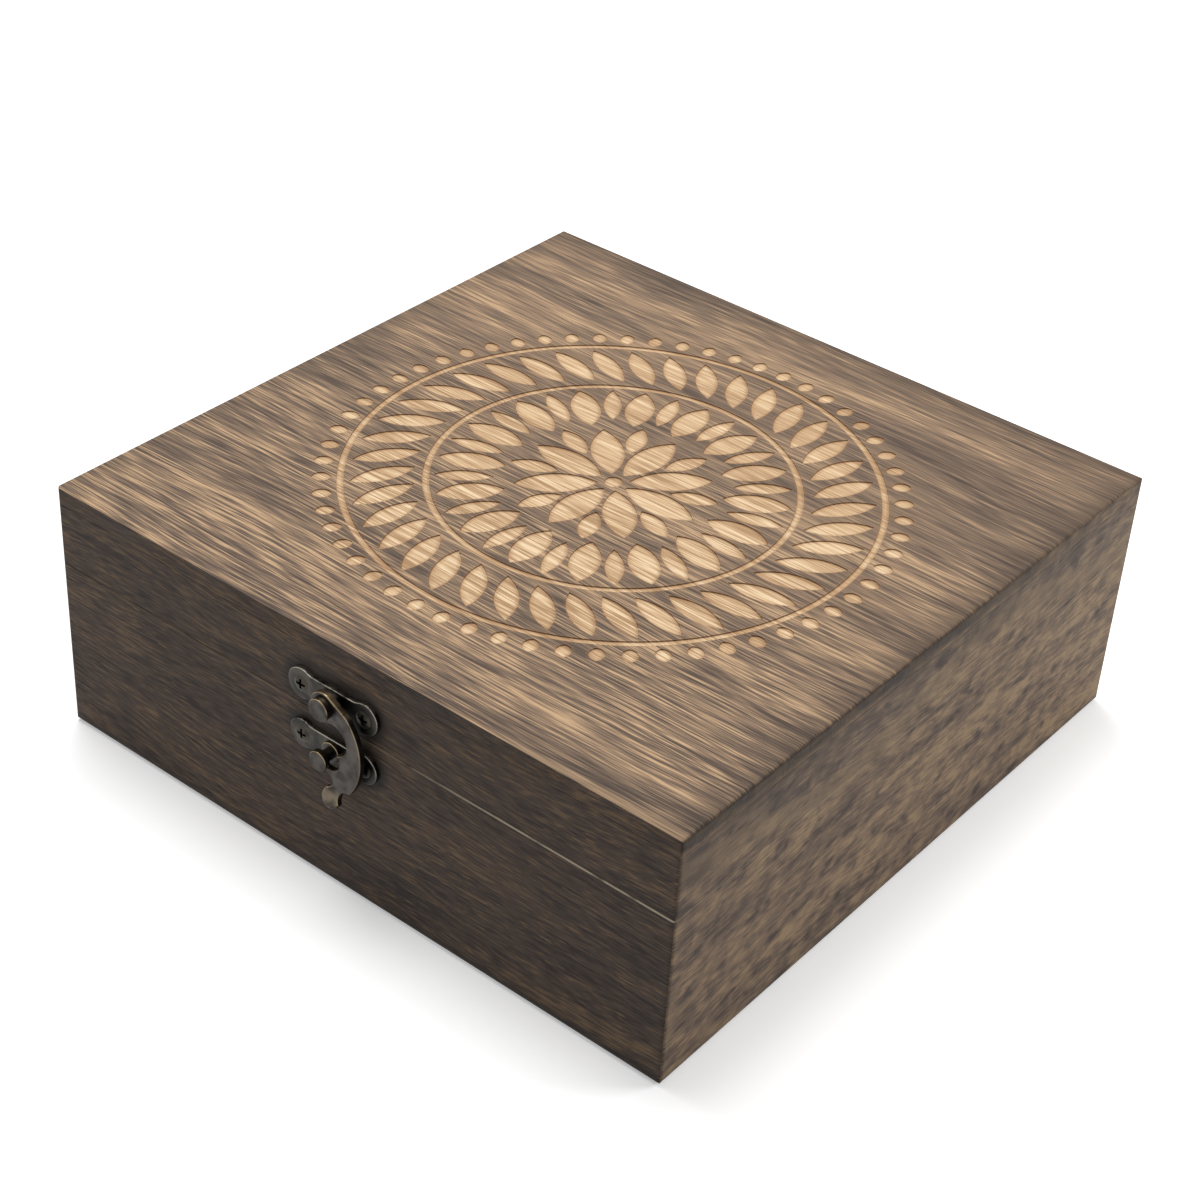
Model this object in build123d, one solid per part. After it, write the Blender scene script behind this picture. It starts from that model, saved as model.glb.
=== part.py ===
from build123d import *
from collections import namedtuple
import os

# A square wooden keepsake box: mitred boards, a let-in bottom, a carved lid panel glued on a
# mitred lid frame, two stop hinges on the back and a swing-hook latch on the front.
# Millimetres. X runs along the front, Y from front to back, Z up. The origin is on the
# surface that the box stands on, under the middle of the box.

# --- box ---------------------------------------------------------------------------------
BOX_WIDTH = 200.0
BOX_DEPTH = 200.0
BOX_HEIGHT = 74.5
BASE_HEIGHT = 51.5
SEAM_GAP = 0.15
WALL = 8.0
TOP_PANEL = 5.0
BOTTOM_PANEL = 4.0
REBATE = 4.0
PANEL_PLAY = 0.1

# --- softened edges ----------------------------------------------------------------------
CORNER_ROUND = 1.0
FOOT_ROUND = 2.0
TOP_ROUND = 1.1
BASE_RIM_BEVEL = 0.4
LID_RIM_BEVEL = 0.15
GLUE_LINE_BEVEL = 0.12

# --- carved rosette in the lid panel: rings of pointed petals and two round borders ------
CENTRE_DOT = 2.4
HEART_START = 4.0
HEART_LENGTH = 22.0
HEART_WIDTH = 9.0
SEPAL_START = 15.0
SEPAL_LENGTH = 13.0
SEPAL_WIDTH = 5.5
CROWN_START = 28.5
CROWN_LENGTH = 18.0
CROWN_WIDTH = 8.0
REED_START = 31.0
REED_LENGTH = 15.5
REED_WIDTH = 5.0
INNER_BORDER = 48.5
SWIRL_START = 51.5
SWIRL_LENGTH = 18.5
SWIRL_WIDTH = 6.2
SWIRL_TILT = 30.0
OUTER_BORDER = 70.4
BEAD_START = 72.6
BEAD_LENGTH = 5.2
BEAD_WIDTH = 4.0
BORDER_WIDTH = 1.8
CARVING_DEPTH = 0.35

# Each ring's phase is a share of the angle between two of its petals.
PetalRing = namedtuple("PetalRing", "count start length width tilt phase")
PETAL_RINGS = (
    PetalRing(8, HEART_START, HEART_LENGTH, HEART_WIDTH, 0, 0),
    PetalRing(8, SEPAL_START, SEPAL_LENGTH, SEPAL_WIDTH, 0, 0.5),
    PetalRing(16, CROWN_START, CROWN_LENGTH, CROWN_WIDTH, 0, 0.25),
    PetalRing(16, REED_START, REED_LENGTH, REED_WIDTH, 0, 0.75),
    PetalRing(40, SWIRL_START, SWIRL_LENGTH, SWIRL_WIDTH, SWIRL_TILT, 0),
    PetalRing(60, BEAD_START, BEAD_LENGTH, BEAD_WIDTH, 0, 0),
)

# --- wood screws, all alike --------------------------------------------------------------
SCREW_RADIUS = 1.1
SCREW_BITE = 5.5
SCREW_TIP = 1.6
SCREW_HEAD = 2.3
SCREW_HEAD_DEPTH = 0.9
SCREW_DOME = 0.35
SCREW_PLAY = 0.03
DRIVE_WIDTH = 0.7
DRIVE_LENGTH = 2.9
DRIVE_DEPTH = 0.8

# --- latch plates ------------------------------------------------------------------------
LATCH_X = -2.6
PIVOT_ABOVE_RIM = 6.85
STUD_BELOW_RIM = 8.1
PLATE_THICKNESS = 1.2
PLATE_EASE = 0.3
EAR_SPACING = 20.4
UPPER_EAR = 4.4
LOWER_EAR = 4.15
UPPER_WAIST = 3.5
LOWER_WAIST = 3.3
WAIST_BLEND = 4.0
BOSS_RADIUS = 3.0
BOSS_HEIGHT = 1.5

# --- rivet and stud ----------------------------------------------------------------------
RIVET_RADIUS = 1.5
RIVET_HEAD = 3.1
RIVET_HEAD_THICKNESS = 1.6
RUNNING_PLAY = 0.06
FACE_PLAY = 0.1
STUD_NECK = 1.6
STUD_FOOT = 2.9
STUD_FOOT_HEIGHT = 1.0
STUD_HEAD = 2.75
STUD_HEAD_THICKNESS = 1.6
STUD_HEAD_GAP = 0.5
HEAD_EASE = 0.3

# --- hook: X to the right of its pivot, drops below it -----------------------------------
HOOK_THICKNESS = 1.6
HOOK_EASE = 0.35
EYE_RADIUS = 4.1
BOW_RADIUS = 17.5
BOW_X = -5.4
BOW_DROP = 11.4
BOW_HALF_ANGLE = 40.0
BOW_END_RADIUS = 3.0
WINDOW_RADIUS = 4.5
WINDOW_X = 3.0
WINDOW_DROP = 8.2
NOTCH_PLAY = 1.26
NOTCH_X = 2.4
NOTCH_RISE = 0.4
JAW_TIP_X = 0.9
FINGER_RADIUS = 2.8
FINGER_X = 2.9
FINGER_DROP = 26.1
FINGER_BEND_DROP = 22.6
FINGER_TILT = 14.0
CRUTCH_RADIUS = 2.5
CRUTCH_X = 0.5
CRUTCH_DROP = 21.2
HEEL_RADIUS = 3.0
HEEL_ASIDE = 5.3
HEEL_RISE = 0.8

# --- hinges ------------------------------------------------------------------------------
HINGE_FROM_SIDE = 40.0
LEAF_WIDTH = 22.0
LEAF_HEIGHT = 9.5
LEAF_THICKNESS = 0.9
LEAF_CORNER = 1.5
LEAF_EASE = 0.2
BARREL_RADIUS = 2.0
BARREL_PLAY = 0.3
PIN_RADIUS = 0.9
PIN_HEAD = 1.5
PIN_HEAD_THICKNESS = 0.6
MIDDLE_KNUCKLE = 8.0
KNUCKLE_GAP = 0.15
LEAF_SCREW_SPACING = 14.0
LEAF_SCREW_DROP = 6.2
STOP_REACH = 4.4
STOP_THICKNESS = 1.0
STOP_PLAY = 0.08
LID_OPEN_DEGREES = 105.0

# --- heights that follow from the sizes above --------------------------------------------
LID_RIM = BASE_HEIGHT + SEAM_GAP
LID_FRAME_TOP = BOX_HEIGHT - TOP_PANEL
SEAM_MIDDLE = BASE_HEIGHT + SEAM_GAP / 2
PIVOT_HEIGHT = LID_RIM + PIVOT_ABOVE_RIM
STUD_HEIGHT = BASE_HEIGHT - STUD_BELOW_RIM
STUD_DROP = PIVOT_HEIGHT - STUD_HEIGHT
HOOK_BACK = PLATE_THICKNESS + BOSS_HEIGHT + FACE_PLAY
HOOK_FRONT = HOOK_BACK + HOOK_THICKNESS
AXIS_OFFSET = BARREL_RADIUS + BARREL_PLAY

# The sides in order round the box, a quarter turn apart.
SIDES = ("front", "right", "back", "left")
HINGE_SIDES = {"left": -1, "right": 1}


# --- places: local X and Y lie on the face, local Z points out of it ---------------------
def front_place(x, height):
    """A place on the outer face of the front."""
    return Plane((x, -BOX_DEPTH / 2, height), x_dir=(1, 0, 0), z_dir=(0, -1, 0)).location


def hinge_place(side):
    """A hinge's place on the outer face of the back, at the middle of the seam."""
    x = side * (BOX_WIDTH / 2 - HINGE_FROM_SIDE)
    return Plane((x, BOX_DEPTH / 2, SEAM_MIDDLE), x_dir=(-1, 0, 0), z_dir=(0, 1, 0)).location


PIVOT_PLACE = front_place(LATCH_X, PIVOT_HEIGHT)
STUD_PLACE = front_place(LATCH_X, STUD_HEIGHT)


# --- small shapes ------------------------------------------------------------------------
def disc(radius, low, high):
    """A cylinder about Z from low to high."""
    return Pos(0, 0, low) * extrude(Circle(radius), high - low)


def block(x, y, z):
    """A box given by its (low, high) along X, Y and Z."""
    middle = [sum(pair) / 2 for pair in (x, y, z)]
    return Pos(*middle) * Box(x[1] - x[0], y[1] - y[0], z[1] - z[0])


def eased_disc(radius, low, high, ease):
    """A disc whose upper edge is rounded."""
    body = disc(radius, low, high)
    return fillet(body.edges().group_by(Axis.Z)[-1], ease)


def eased_plate(outline, thickness, ease):
    """An outline raised to a thickness, with the edge of its upper face rounded."""
    plate = extrude(outline, thickness)
    return fillet(plate.faces().sort_by(Axis.Z)[-1].outer_wire().edges(), ease)


def rectangle(x, y):
    """A rectangle given by its (low, high) along X and Y."""
    return Pos(sum(x) / 2, sum(y) / 2) * Rectangle(x[1] - x[0], y[1] - y[0])


def hull(*circles):
    """The face inside a string drawn round circles given as (x, y, radius)."""
    return make_hull([(Pos(x, y) * Circle(radius)).edge() for x, y, radius in circles])


# --- wood --------------------------------------------------------------------------------
def footprint(low, high):
    """The box's outline as a prism, with its upright corners rounded."""
    return Pos(0, 0, low) * extrude(RectangleRounded(BOX_WIDTH, BOX_DEPTH, CORNER_ROUND), high - low)


def board(side, profile):
    """A board of one profile (depth in from the outer face, height), mitred at both ends."""
    turns = SIDES.index(side)
    length = BOX_DEPTH if turns % 2 else BOX_WIDTH
    reach = (BOX_WIDTH if turns % 2 else BOX_DEPTH) / 2
    end = Plane((-length / 2, -reach, 0), x_dir=(0, 1, 0), z_dir=(1, 0, 0))
    run = extrude(end * profile, length)
    inner = length / 2 - WALL
    mitre = Polyline(
        (-length / 2, -reach), (length / 2, -reach), (inner, WALL - reach), (-inner, WALL - reach),
        close=True,
    )
    mitred = run & extrude(make_face(mitre), BOX_HEIGHT)
    return Rot(0, 0, turns * 90) * mitred & footprint(0, BOX_HEIGHT)


def base_profile():
    """A base board's section: rounded foot, bevelled rim and a rebate for the bottom panel."""
    step = WALL - REBATE
    corners = Polyline(
        (FOOT_ROUND, 0), (step, 0), (step, BOTTOM_PANEL), (WALL, BOTTOM_PANEL), (WALL, BASE_HEIGHT),
        (BASE_RIM_BEVEL, BASE_HEIGHT), (0, BASE_HEIGHT - BASE_RIM_BEVEL), (0, FOOT_ROUND),
    )
    foot_middle = FOOT_ROUND * (1 - 0.5 ** 0.5)
    foot = ThreePointArc((0, FOOT_ROUND), (foot_middle, foot_middle), (FOOT_ROUND, 0))
    return make_face(Curve() + [corners, foot])


def lid_profile():
    """A lid board's section: bevelled rim, and a small bevel under the lid panel."""
    return make_face(Polyline(
        (LID_RIM_BEVEL, LID_RIM), (WALL, LID_RIM), (WALL, LID_FRAME_TOP),
        (GLUE_LINE_BEVEL, LID_FRAME_TOP), (0, LID_FRAME_TOP - GLUE_LINE_BEVEL),
        (0, LID_RIM + LID_RIM_BEVEL),
        close=True,
    ))


def bottom_panel():
    """The bottom, let into the rebates flush with the boards' feet."""
    inset = 2 * (WALL - REBATE + PANEL_PLAY)
    return extrude(Rectangle(BOX_WIDTH - inset, BOX_DEPTH - inset), BOTTOM_PANEL)


def panel_run(width, length):
    """A bar along Y with the section of the lid panel: rounded on top, bevelled below."""
    half = width / 2
    section = Polyline(
        (GLUE_LINE_BEVEL - half, 0), (half - GLUE_LINE_BEVEL, 0), (half, GLUE_LINE_BEVEL),
        (half, TOP_PANEL), (-half, TOP_PANEL), (-half, GLUE_LINE_BEVEL),
        close=True,
    )
    face = make_face(section)
    top_corners = face.vertices().group_by(Axis.Y)[-1]
    upright = Plane((0, length / 2, LID_FRAME_TOP), x_dir=(1, 0, 0), z_dir=(0, -1, 0))
    return extrude(upright * fillet(top_corners, TOP_ROUND), length)


def petal(ring, index):
    """One pointed petal of a ring, between two arcs."""
    tip = (ring.length, 0)
    swell = (ring.length / 2, ring.width / 2)
    sink = (ring.length / 2, -ring.width / 2)
    lens = make_face(Curve() + [ThreePointArc((0, 0), swell, tip), ThreePointArc(tip, sink, (0, 0))])
    turn = (index + ring.phase) * 360 / ring.count
    return Rot(0, 0, turn) * Pos(ring.start, 0) * Rot(0, 0, ring.tilt) * lens


def carving():
    """Every pocket of the rosette, as solids that end in the panel's upper face."""
    shapes = [petal(ring, index) for ring in PETAL_RINGS for index in range(ring.count)]
    for radius in (INNER_BORDER, OUTER_BORDER):
        shapes.append(Circle(radius + BORDER_WIDTH / 2) - Circle(radius - BORDER_WIDTH / 2))
    shapes.append(Circle(CENTRE_DOT))
    return [Pos(0, 0, BOX_HEIGHT) * extrude(shape, -CARVING_DEPTH) for shape in shapes]


def lid_top_panel():
    """The lid panel with its rounded edges and its carved rosette."""
    along = panel_run(BOX_WIDTH, BOX_DEPTH)
    across = Rot(0, 0, 90) * panel_run(BOX_DEPTH, BOX_WIDTH)
    return (along & across & footprint(LID_FRAME_TOP, BOX_HEIGHT)) - carving()


# --- screws ------------------------------------------------------------------------------
def screw_form(grip, play=0.0):
    """A countersunk screw through a grip, its head's rim at Z 0, or its hole with some play."""
    shank = SCREW_RADIUS + play
    head = SCREW_HEAD + play
    end = -grip - SCREW_BITE
    outline = Curve() + [
        Polyline(
            (head, 0), (shank, -SCREW_HEAD_DEPTH), (shank, end + SCREW_TIP), (0, end), (0, SCREW_DOME),
        ),
        Bezier((0, SCREW_DOME), (head / 2, SCREW_DOME), (head, 0)),
    ]
    return revolve(Plane.XZ * make_face(outline), Axis.Z)


def screw(grip):
    """A screw with a cross cut into its head."""
    slot = block((-DRIVE_LENGTH / 2, DRIVE_LENGTH / 2), (-DRIVE_WIDTH / 2, DRIVE_WIDTH / 2),
                 (SCREW_DOME - DRIVE_DEPTH, SCREW_DOME))
    return screw_form(grip) - [slot, Rot(0, 0, 90) * slot]


def plate_screws(place):
    """The screws of a latch plate, in the plate's place, with the grip that each needs."""
    return [place * Pos(side * EAR_SPACING / 2, 0, PLATE_THICKNESS) for side in (-1, 1)]


def leaf_screws(place, up):
    """The places of the screws of one hinge leaf: up is 1 on the lid and -1 on the base."""
    spots = [(side * LEAF_SCREW_SPACING / 2, up * LEAF_SCREW_DROP) for side in (-1, 1)]
    return [place * Pos(x, y, LEAF_THICKNESS) for x, y in spots]


def drilled(body, places, grip):
    """A body with the holes of some screws."""
    return body - [place * screw_form(grip, SCREW_PLAY) for place in places]


def screws(places, grip):
    """The screws themselves, as one group."""
    return Compound(children=[place * screw(grip) for place in places])


# --- latch -------------------------------------------------------------------------------
def plate_outline(ear, waist):
    """Two round ears joined by a narrower waist with blended corners."""
    ears = [Pos(side * EAR_SPACING / 2, 0) * Circle(ear) for side in (-1, 1)]
    outline = Sketch() + ears + Rectangle(EAR_SPACING, 2 * waist)
    inner = outline.vertices().filter_by_position(Axis.X, -EAR_SPACING / 2, EAR_SPACING / 2)
    return fillet(inner, WAIST_BLEND)


def latch_plate():
    """The plate on the lid, with a raised boss that carries the hook's eye."""
    plate = eased_plate(plate_outline(UPPER_EAR, UPPER_WAIST), PLATE_THICKNESS, PLATE_EASE)
    plate += disc(BOSS_RADIUS, 0, PLATE_THICKNESS + BOSS_HEIGHT)
    return plate - disc(RIVET_RADIUS, 0, PLATE_THICKNESS + BOSS_HEIGHT)


def pivot_rivet():
    """The rivet that the hook turns on, headed in front of the hook."""
    under_head = HOOK_FRONT + FACE_PLAY
    head = eased_disc(RIVET_HEAD, under_head, under_head + RIVET_HEAD_THICKNESS, HEAD_EASE)
    return disc(RIVET_RADIUS, 0, under_head) + head


def catch_plate():
    """The plate on the base, with a low foot round the stud."""
    plate = eased_plate(plate_outline(LOWER_EAR, LOWER_WAIST), PLATE_THICKNESS, PLATE_EASE)
    return plate - disc(STUD_NECK, 0, PLATE_THICKNESS)


def catch_stud():
    """The headed stud that the hook's jaw closes round."""
    under_head = HOOK_FRONT + STUD_HEAD_GAP
    foot_top = PLATE_THICKNESS + STUD_FOOT_HEIGHT
    foot = eased_disc(STUD_FOOT, PLATE_THICKNESS, foot_top, HEAD_EASE)
    head = eased_disc(STUD_HEAD, under_head, under_head + STUD_HEAD_THICKNESS, HEAD_EASE)
    return disc(STUD_NECK, 0, under_head) + foot + head


def hook_outline():
    """The hook seen from the front: eye, bow, jaw and finger."""
    notch_radius = STUD_NECK + NOTCH_PLAY
    notch_y = NOTCH_RISE - STUD_DROP
    jaw_top = notch_y - notch_radius
    window_top = WINDOW_RADIUS - WINDOW_DROP
    outer = Vector(BOW_RADIUS, 0).rotate(Axis.Z, BOW_HALF_ANGLE)
    inner = Vector(BOW_RADIUS - BOW_END_RADIUS, 0).rotate(Axis.Z, BOW_HALF_ANGLE)
    bow = Pos(BOW_X, -BOW_DROP) * Circle(BOW_RADIUS)
    bow &= rectangle((JAW_TIP_X, BOW_X + BOW_RADIUS), (-BOW_DROP - outer.Y, outer.Y - BOW_DROP))
    bow -= rectangle((JAW_TIP_X, NOTCH_X), (jaw_top, window_top))
    shoulder = (BOW_X + inner.X, inner.Y - BOW_DROP, BOW_END_RADIUS)
    root = (BOW_X + inner.X, -BOW_DROP - inner.Y, BOW_END_RADIUS)
    eye = hull((0, 0, EYE_RADIUS), shoulder)
    finger = hull(root, (FINGER_X, -FINGER_DROP, FINGER_RADIUS))
    hollows = [
        Pos(WINDOW_X, -WINDOW_DROP) * Circle(WINDOW_RADIUS),
        Pos(NOTCH_X, notch_y) * Circle(notch_radius),
        Pos(CRUTCH_X, -CRUTCH_DROP) * Circle(CRUTCH_RADIUS),
        Pos(FINGER_X + HEEL_ASIDE, HEEL_RISE - FINGER_DROP) * Circle(HEEL_RADIUS),
    ]
    return bow + eye + finger - hollows


def latch_hook():
    """The hook on its pivot, closed round the stud, with its finger bent forwards."""
    flat = eased_plate(hook_outline(), HOOK_THICKNESS, HOOK_EASE)
    reach = 2 * FINGER_DROP
    across = (-reach, reach)
    thick = (0, HOOK_THICKNESS)
    finger = flat & block(across, (-reach, -FINGER_BEND_DROP), thick)
    body = flat & block(across, (-FINGER_BEND_DROP, reach), thick)
    bend = Pos(0, -FINGER_BEND_DROP, 0)
    body += bend * Rot(-FINGER_TILT, 0, 0) * bend.inverse() * finger
    return Pos(0, 0, HOOK_BACK) * body - disc(RIVET_RADIUS + RUNNING_PLAY, 0, HOOK_FRONT)


# --- hinges: in a hinge's place X runs along its pin and Y points up ---------------------
def bar(radius, low, high):
    """A cylinder along the hinge's axis."""
    return Pos(0, 0, AXIS_OFFSET) * Rot(0, 90, 0) * disc(radius, low, high)


def leaf(up, knuckles, gaps):
    """A hinge leaf: a plate on the box, its own knuckles, and room for the other leaf's."""
    tall = LEAF_HEIGHT - SEAM_GAP / 2
    outline = Pos(0, -SEAM_GAP / 2 - tall / 2) * Rectangle(LEAF_WIDTH, tall)
    outline = fillet(outline.vertices().group_by(Axis.Y)[0], LEAF_CORNER)
    plate = eased_plate(outline, LEAF_THICKNESS, LEAF_EASE)
    for low, high in gaps:
        plate -= bar(BARREL_RADIUS + BARREL_PLAY, low, high)
    for low, high in knuckles:
        web = block((low, high), (-BARREL_RADIUS, -SEAM_GAP / 2), (0, AXIS_OFFSET))
        plate += web + bar(BARREL_RADIUS, low, high)
    plate -= bar(PIN_RADIUS + RUNNING_PLAY, -LEAF_WIDTH / 2, LEAF_WIDTH / 2)
    return plate if up < 0 else Rot(0, 0, 180) * plate


def base_leaf():
    """The leaf on the base, with the two outer knuckles and room for the middle one."""
    end = LEAF_WIDTH / 2
    inner = MIDDLE_KNUCKLE / 2 + KNUCKLE_GAP
    return leaf(-1, [(-end, -inner), (inner, end)], [(-inner, inner)])


def lid_leaf():
    """The leaf on the lid, with the middle knuckle and the stop that limits the opening."""
    end = LEAF_WIDTH / 2
    half = MIDDLE_KNUCKLE / 2
    stop_face = LEAF_THICKNESS + STOP_PLAY
    stop = block((-half, half), (-STOP_REACH, 0), (stop_face, stop_face + STOP_THICKNESS))
    axis = Pos(0, 0, AXIS_OFFSET)
    stop = axis * Rot(-LID_OPEN_DEGREES, 0, 0) * axis.inverse() * stop
    bore = bar(PIN_RADIUS + RUNNING_PLAY, -half, half)
    return leaf(1, [(-half, half)], [(-end, -half), (half, end)]) + (stop - bore)


def hinge_pin():
    """The pin, headed at both ends."""
    end = LEAF_WIDTH / 2
    heads = [bar(PIN_HEAD, end, end + PIN_HEAD_THICKNESS), bar(PIN_HEAD, -end - PIN_HEAD_THICKNESS, -end)]
    return bar(PIN_RADIUS, -end, end) + heads


# --- the whole box -----------------------------------------------------------------------
def wooden_pieces():
    """The boards and panels, by node name."""
    pieces = {f"base_{side}_board": board(side, base_profile()) for side in SIDES}
    pieces.update({f"lid_{side}_board": board(side, lid_profile()) for side in SIDES})
    pieces["bottom_panel"] = bottom_panel()
    pieces["lid_top_panel"] = lid_top_panel()
    return pieces


def add_latch(pieces):
    """The latch's pieces, and the holes that its screws need."""
    upper = plate_screws(PIVOT_PLACE)
    lower = plate_screws(STUD_PLACE)
    pieces["latch_plate"] = drilled(PIVOT_PLACE * latch_plate(), upper, PLATE_THICKNESS)
    pieces["catch_plate"] = drilled(STUD_PLACE * catch_plate(), lower, PLATE_THICKNESS)
    pieces["lid_front_board"] = drilled(pieces["lid_front_board"], upper, PLATE_THICKNESS)
    pieces["base_front_board"] = drilled(pieces["base_front_board"], lower, PLATE_THICKNESS)
    pieces["latch_plate_screws"] = screws(upper, PLATE_THICKNESS)
    pieces["catch_plate_screws"] = screws(lower, PLATE_THICKNESS)
    pieces["latch_pivot_rivet"] = PIVOT_PLACE * pivot_rivet()
    pieces["catch_stud"] = STUD_PLACE * catch_stud()
    pieces["latch_hook"] = PIVOT_PLACE * latch_hook()


def add_hinges(pieces):
    """Both hinges' pieces, and the holes that their screws need."""
    base_places = []
    lid_places = []
    for name, side in HINGE_SIDES.items():
        place = hinge_place(side)
        low = leaf_screws(place, -1)
        high = leaf_screws(place, 1)
        pieces[f"hinge_{name}_base_leaf"] = drilled(place * base_leaf(), low, LEAF_THICKNESS)
        pieces[f"hinge_{name}_lid_leaf"] = drilled(place * lid_leaf(), high, LEAF_THICKNESS)
        pieces[f"hinge_{name}_pin"] = place * hinge_pin()
        base_places += low
        lid_places += high
    pieces["base_back_board"] = drilled(pieces["base_back_board"], base_places, LEAF_THICKNESS)
    pieces["lid_back_board"] = drilled(pieces["lid_back_board"], lid_places, LEAF_THICKNESS)
    pieces["hinge_base_screws"] = screws(base_places, LEAF_THICKNESS)
    pieces["hinge_lid_screws"] = screws(lid_places, LEAF_THICKNESS)


def main():
    """Builds every piece and writes each to its own file."""
    pieces = wooden_pieces()
    add_latch(pieces)
    add_hinges(pieces)
    os.makedirs("parts", exist_ok=True)
    for name, piece in pieces.items():
        export_step(piece, f"parts/{name}.step")


if __name__ == "__main__":
    main()
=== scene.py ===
"""The looks of a square wooden keepsake box: a carved lid, a swing-hook latch and two hinges."""

from __future__ import annotations

import logging
import math
from dataclasses import dataclass, field
from enum import Enum

import bpy
from mathutils import Matrix, Vector

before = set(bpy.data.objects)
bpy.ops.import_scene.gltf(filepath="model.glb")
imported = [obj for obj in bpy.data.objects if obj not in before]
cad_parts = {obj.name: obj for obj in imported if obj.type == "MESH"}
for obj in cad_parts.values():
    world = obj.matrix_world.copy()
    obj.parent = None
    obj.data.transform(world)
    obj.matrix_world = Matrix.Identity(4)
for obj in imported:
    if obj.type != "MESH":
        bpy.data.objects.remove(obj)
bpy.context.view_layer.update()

LOG = logging.getLogger("keepsake_box")
MILLIMETRES = 1000.0

Colour = tuple[float, float, float, float]

BLACK = (0.0, 0.0, 0.0, 1.0)
WHITE = (1.0, 1.0, 1.0, 1.0)


def paint(red: int, green: int, blue: int) -> Colour:
    """Turns a colour written as 0 to 255 for a screen into the linear one that a shader takes.

    Args:
        red: Red, 0 to 255.
        green: Green, 0 to 255.
        blue: Blue, 0 to 255.

    Returns:
        The linear colour, with an alpha of 1.
    """
    channels = []
    for channel in (red, green, blue):
        share = channel / 255
        channels.append(share / 12.92 if share <= 0.04045 else ((share + 0.055) / 1.055) ** 2.4)
    return (channels[0], channels[1], channels[2], 1.0)


# --- shader maths ------------------------------------------------------------------------
@dataclass(frozen=True)
class Value:
    """A number that varies over a surface: an output socket that takes arithmetic.

    Attributes:
        shader: The shader whose nodes work it out.
        socket: The output socket that carries it.
    """

    shader: Shader
    socket: bpy.types.NodeSocket

    def _math(self, operation: str, *operands: Operand, clamped: bool = False) -> Value:
        """Adds one Math node.

        Args:
            operation: The node's operation.
            *operands: Its inputs in order.
            clamped: Whether the result is held between 0 and 1.

        Returns:
            The node's result.
        """
        inputs = dict(enumerate(operands))
        settings = {"operation": operation, "use_clamp": clamped}
        return Value(self.shader, self.shader.node("ShaderNodeMath", settings, inputs).outputs[0])

    def __add__(self, other: Operand) -> Value:
        """Adds."""
        return self._math("ADD", self, other)

    def __radd__(self, other: float) -> Value:
        """Adds to a plain number."""
        return self._math("ADD", other, self)

    def __sub__(self, other: Operand) -> Value:
        """Takes away."""
        return self._math("SUBTRACT", self, other)

    def __rsub__(self, other: float) -> Value:
        """Takes this value from a plain number."""
        return self._math("SUBTRACT", other, self)

    def __mul__(self, other: Operand) -> Value:
        """Multiplies."""
        return self._math("MULTIPLY", self, other)

    def __rmul__(self, other: float) -> Value:
        """Multiplies a plain number."""
        return self._math("MULTIPLY", other, self)

    def __truediv__(self, other: Operand) -> Value:
        """Divides."""
        return self._math("DIVIDE", self, other)

    def __abs__(self) -> Value:
        """Drops the sign."""
        return self._math("ABSOLUTE", self)

    def root(self) -> Value:
        """Takes the square root."""
        return self._math("SQRT", self)

    def sine(self) -> Value:
        """Takes the sine of an angle in radians."""
        return self._math("SINE", self)

    def cosine(self) -> Value:
        """Takes the cosine of an angle in radians."""
        return self._math("COSINE", self)

    def bearing(self, right: Value) -> Value:
        """Gives the angle whose rise is this value and whose run is another."""
        return self._math("ARCTAN2", self, right)

    def least(self, other: Operand) -> Value:
        """Gives the smaller of two."""
        return self._math("MINIMUM", self, other)

    def most(self, other: Operand) -> Value:
        """Gives the larger of two."""
        return self._math("MAXIMUM", self, other)

    def held(self) -> Value:
        """Holds the value between 0 and 1."""
        return self._math("ADD", self, 0.0, clamped=True)

    def folded(self, step: float) -> Value:
        """Repeats the value every step, from minus half a step to half a step."""
        return self._math("WRAP", self, step / 2, -step / 2)

    def rise(self, low: float, high: float) -> Value:
        """Goes smoothly from 0 to 1 between two levels, or from 1 to 0 if low is above high.

        Args:
            low: Where the result is 0.
            high: Where the result is 1.

        Returns:
            The smooth step.
        """
        start, end, ends = (low, high, (0.0, 1.0)) if low < high else (high, low, (1.0, 0.0))
        settings = {"interpolation_type": "SMOOTHSTEP"}
        inputs = {0: self, 1: start, 2: end, 3: ends[0], 4: ends[1]}
        node = self.shader.node("ShaderNodeMapRange", settings, inputs)
        return Value(self.shader, node.outputs[0])


Operand = Value | float


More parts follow.
